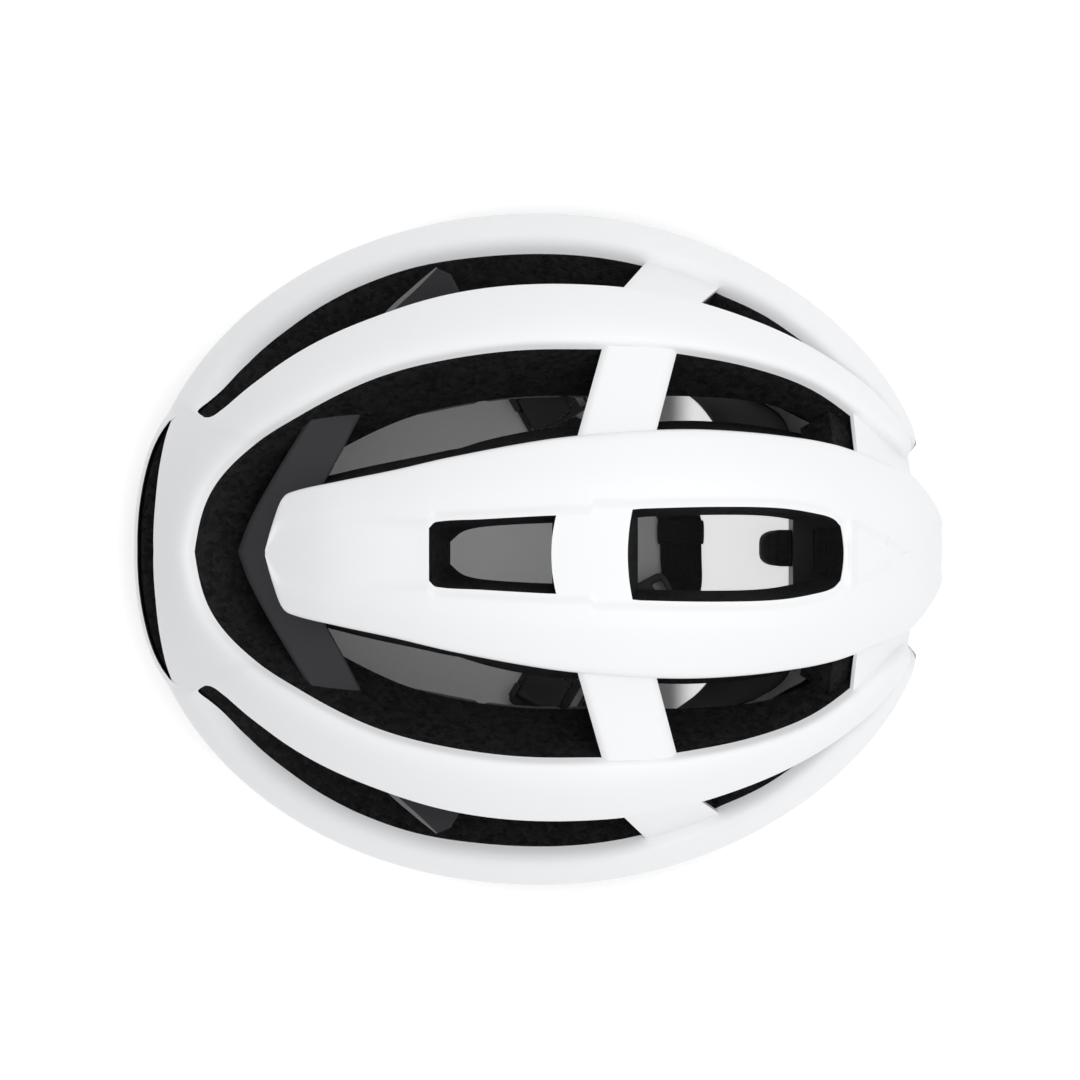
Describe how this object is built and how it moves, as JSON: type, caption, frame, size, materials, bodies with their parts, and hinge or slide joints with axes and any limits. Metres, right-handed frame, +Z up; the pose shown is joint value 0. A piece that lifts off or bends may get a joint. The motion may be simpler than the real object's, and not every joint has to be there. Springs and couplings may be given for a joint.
{
  "type": "cycling helmet",
  "caption": "Vented road cycling helmet with a white two-part shell over black foam, a charcoal brace, a dial-adjusted fit cradle and a buckled chin strap.",
  "frame": {"origin": "centre of the helmet's footprint, on the surface that its rim stands on", "axes": "+Z up through the crown, the brow faces -Y, the wearer's left is +X"},
  "size_m": [0.22, 0.2634, 0.1516],
  "materials": {
    "shell": "satin",
    "foam": "matte",
    "brace": "satin",
    "pad": "matte",
    "webbing": "matte",
    "plastic": "satin",
    "gear": "satin"
  },
  "bodies": {
    "helmet": {"upper_shell": "shell", "lower_shell": "shell", "spine_foam": "foam", "band_foam": "foam", "rim_foam": "foam", "brace": "brace", "brow_pad": "pad", "side_pad_left": "pad", "side_pad_right": "pad", "crown_pad_left": "pad", "crown_pad_right": "pad", "strap_anchors": "plastic", "front_strap_left": "webbing", "front_strap_right": "webbing", "rear_strap_left": "webbing", "rear_strap_right": "webbing", "chin_strap_left": "webbing", "chin_strap_right": "webbing", "strap_keeper": "webbing", "buckle_female": "plastic", "temple_pin_left": "plastic", "temple_pin_right": "plastic"},
    "divider_l": {"divider_left": "plastic"},
    "divider_r": {"divider_right": "plastic"},
    "cam_l": {"cam_lever_left": "plastic"},
    "cam_r": {"cam_lever_right": "plastic"},
    "buckle_plug": {"buckle_male": "plastic", "buckle_prongs": "plastic"},
    "cradle": {"fit_band_left": "plastic", "fit_band_right": "plastic", "cradle_base": "plastic", "cradle_cover": "plastic", "nape_pad": "pad"},
    "knob": {"pinion": "gear", "dial": "gear"},
    "rack_l": {"rack_left": "gear"},
    "rack_r": {"rack_right": "gear"}
  },
  "joints": [
    {"name": "cradle_height", "type": "hinge", "parent": "helmet", "child": "cradle", "pos_m": [0, -0.045, 0.04], "axis": [1, 0, 0], "range_deg": [0, 10]},
    {"name": "dial_turn", "type": "hinge", "parent": "cradle", "child": "knob", "pos_m": [0, 0.0885, 0.022], "axis": [0, -1, 0], "range_deg": [0, 172]},
    {"name": "rack_left_slide", "type": "slide", "parent": "cradle", "child": "rack_l", "axis": [-1, 0, 0], "range_m": [0, 0.015], "deforming": ["fit_band_left"]},
    {"name": "rack_right_slide", "type": "slide", "parent": "cradle", "child": "rack_r", "axis": [1, 0, 0], "range_m": [0, 0.015], "deforming": ["fit_band_right"]},
    {"name": "buckle_release", "type": "slide", "parent": "helmet", "child": "buckle_plug", "axis": [-0.4772, 0.8788, 0], "range_m": [0, 0.016], "deforming": ["buckle_prongs", "chin_strap_right"]},
    {"name": "divider_left_slide", "type": "slide", "parent": "helmet", "child": "divider_l", "axis": [0.866, -0.5, 0], "range_m": [0, 0.012], "deforming": ["front_strap_left", "rear_strap_left", "chin_strap_left"]},
    {"name": "divider_right_slide", "type": "slide", "parent": "helmet", "child": "divider_r", "axis": [-0.866, -0.5, 0], "range_m": [0, 0.012], "deforming": ["front_strap_right", "rear_strap_right"]},
    {"name": "cam_left_open", "type": "hinge", "parent": "divider_l", "child": "cam_l", "pos_m": [0.0524, -0.00125, 0.0048], "axis": [0.5, 0.866, 0], "range_deg": [0, 80]},
    {"name": "cam_right_open", "type": "hinge", "parent": "divider_r", "child": "cam_r", "pos_m": [-0.0524, -0.00125, 0.0048], "axis": [0.5, -0.866, 0], "range_deg": [0, 80]}
  ],
  "couplings": [
    {"joint": "dial_turn", "follows": "rack_left_slide", "rad_per_m": 200},
    {"joint": "rack_right_slide", "follows": "rack_left_slide", "ratio": 1}
  ]
}
